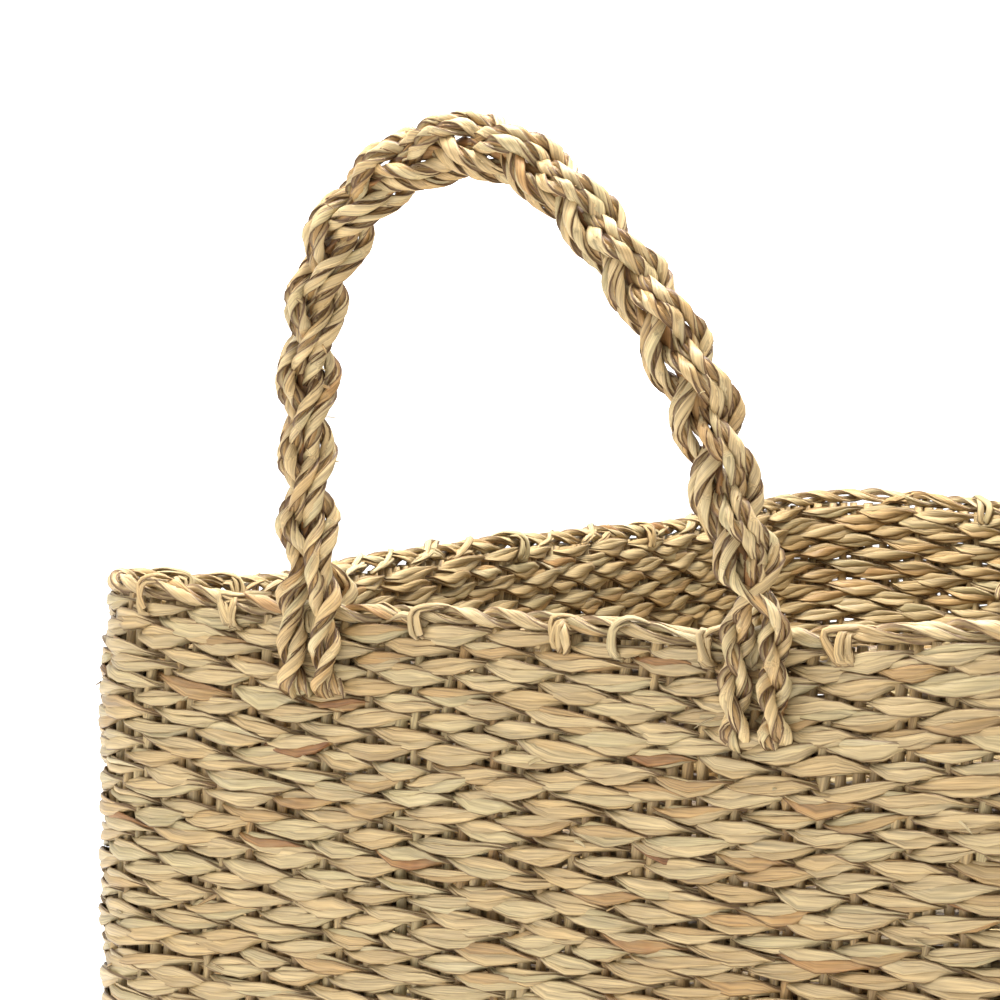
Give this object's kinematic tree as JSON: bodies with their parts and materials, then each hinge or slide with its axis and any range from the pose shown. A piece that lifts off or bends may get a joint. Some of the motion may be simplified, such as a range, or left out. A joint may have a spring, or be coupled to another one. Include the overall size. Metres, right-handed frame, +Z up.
{
  "type": "seagrass storage basket",
  "caption": "Rectangular seagrass storage basket with round corners, an open top and a hinged braided loop handle at each short side.",
  "frame": {"origin": "centre of the underside of the basket, on the surface it stands on", "axes": "+Z up, +Y along the long sides towards the back handle, +X along the short sides"},
  "size_m": [0.328, 0.5044, 0.3958],
  "materials": {
    "weave_outside": "satin dry grass",
    "weave_inside": "satin dry grass, darker",
    "stakes": "dull dry grass",
    "rim": "satin dry grass",
    "foot_cords": "satin twisted grass",
    "handle_braid": "satin twisted grass"
  },
  "bodies": {
    "basket": {"outer_weave": "weave_outside", "inner_weave": "weave_inside", "long_stake_01": "stakes", "long_stake_02": "stakes", "long_stake_03": "stakes", "long_stake_04": "stakes", "long_stake_05": "stakes", "long_stake_06": "stakes", "long_stake_07": "stakes", "long_stake_08": "stakes", "long_stake_09": "stakes", "long_stake_10": "stakes", "long_stake_11": "stakes", "long_stake_12": "stakes", "long_stake_13": "stakes", "long_stake_14": "stakes", "long_stake_15": "stakes", "long_stake_16": "stakes", "cross_stake_01": "stakes", "cross_stake_02": "stakes", "cross_stake_03": "stakes", "cross_stake_04": "stakes", "cross_stake_05": "stakes", "cross_stake_06": "stakes", "cross_stake_07": "stakes", "cross_stake_08": "stakes", "cross_stake_09": "stakes", "cross_stake_10": "stakes", "cross_stake_11": "stakes", "cross_stake_12": "stakes", "cross_stake_13": "stakes", "cross_stake_14": "stakes", "cross_stake_15": "stakes", "cross_stake_16": "stakes", "cross_stake_17": "stakes", "cross_stake_18": "stakes", "cross_stake_19": "stakes", "cross_stake_20": "stakes", "cross_stake_21": "stakes", "cross_stake_22": "stakes", "cross_stake_23": "stakes", "cross_stake_24": "stakes", "cross_stake_25": "stakes", "cross_stake_26": "stakes", "corner_stake_1_1": "stakes", "corner_stake_1_2": "stakes", "corner_stake_2_1": "stakes", "corner_stake_2_2": "stakes", "corner_stake_3_1": "stakes", "corner_stake_3_2": "stakes", "corner_stake_4_1": "stakes", "corner_stake_4_2": "stakes", "rim_strand": "rim", "front_left_foot": "foot_cords", "front_right_foot": "foot_cords", "back_left_foot": "foot_cords", "back_right_foot": "foot_cords"},
    "front_handle": {"front_handle_braid": "handle_braid"},
    "back_handle": {"back_handle_braid": "handle_braid"}
  },
  "joints": [
    {"name": "front_handle_fold", "type": "hinge", "parent": "basket", "child": "front_handle", "pos_m": [0, -0.2437, 0.2695], "axis": [1, 0, 0], "range_deg": [-90, 90]},
    {"name": "back_handle_fold", "type": "hinge", "parent": "basket", "child": "back_handle", "pos_m": [0, 0.2437, 0.2695], "axis": [-1, 0, 0], "range_deg": [-90, 90]}
  ]
}
